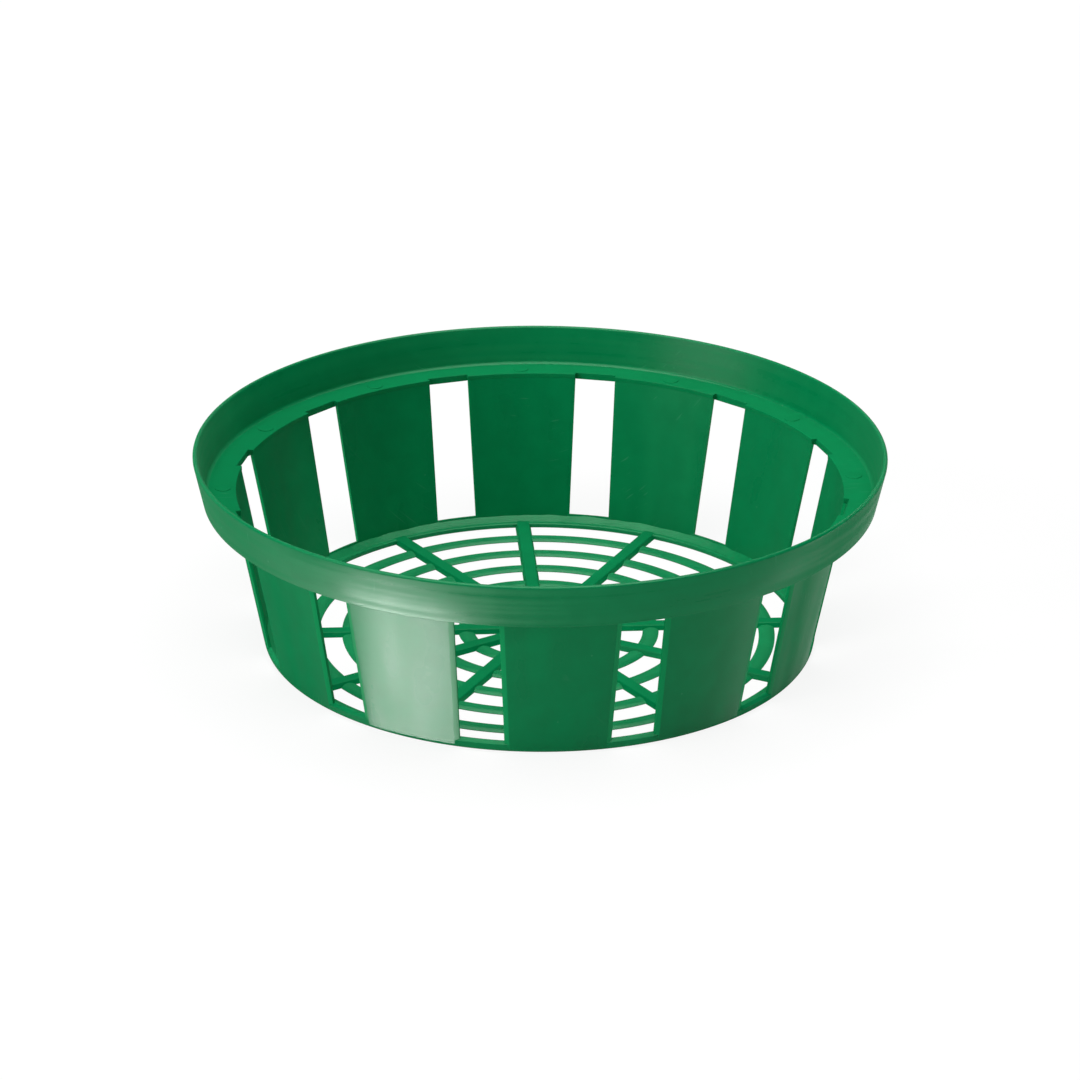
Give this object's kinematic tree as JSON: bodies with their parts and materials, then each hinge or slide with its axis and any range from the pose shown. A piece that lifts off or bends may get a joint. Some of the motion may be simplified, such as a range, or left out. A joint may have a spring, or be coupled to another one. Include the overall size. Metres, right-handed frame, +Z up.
{
  "type": "bulb planting basket",
  "caption": "Round tapered planting basket of moulded plastic, with a slotted wall, a grid floor and an upright collar on a flat ledge; holds bulbs and soil in the ground.",
  "frame": {"origin": "on the ground at the centre of the base ring", "axes": "+Z up along the basket's axis, towards the open mouth; +X and -Y each pass through the middle of a wall stave"},
  "size_m": [0.2196, 0.2196, 0.0644],
  "materials": {
    "green_plastic": "semi-gloss moulded polypropylene with faint flow marks and scuffs"
  },
  "bodies": {
    "root": {"rim_collar": "green_plastic", "rim_ledge": "green_plastic", "base_ring": "green_plastic", "floor_hub": "green_plastic", "floor_ring_1": "green_plastic", "floor_ring_2": "green_plastic", "floor_ring_3": "green_plastic", "floor_ring_4": "green_plastic", "floor_ring_5": "green_plastic", "wall_panel_01": "green_plastic", "wall_panel_02": "green_plastic", "wall_panel_03": "green_plastic", "wall_panel_04": "green_plastic", "wall_panel_05": "green_plastic", "wall_panel_06": "green_plastic", "wall_panel_07": "green_plastic", "wall_panel_08": "green_plastic", "wall_panel_09": "green_plastic", "wall_panel_10": "green_plastic", "wall_panel_11": "green_plastic", "wall_panel_12": "green_plastic", "floor_spoke_01": "green_plastic", "floor_spoke_02": "green_plastic", "floor_spoke_03": "green_plastic", "floor_spoke_04": "green_plastic", "floor_spoke_05": "green_plastic", "floor_spoke_06": "green_plastic", "floor_spoke_07": "green_plastic", "floor_spoke_08": "green_plastic", "floor_spoke_09": "green_plastic", "floor_spoke_10": "green_plastic", "floor_spoke_11": "green_plastic", "floor_spoke_12": "green_plastic"}
  },
  "joints": []
}
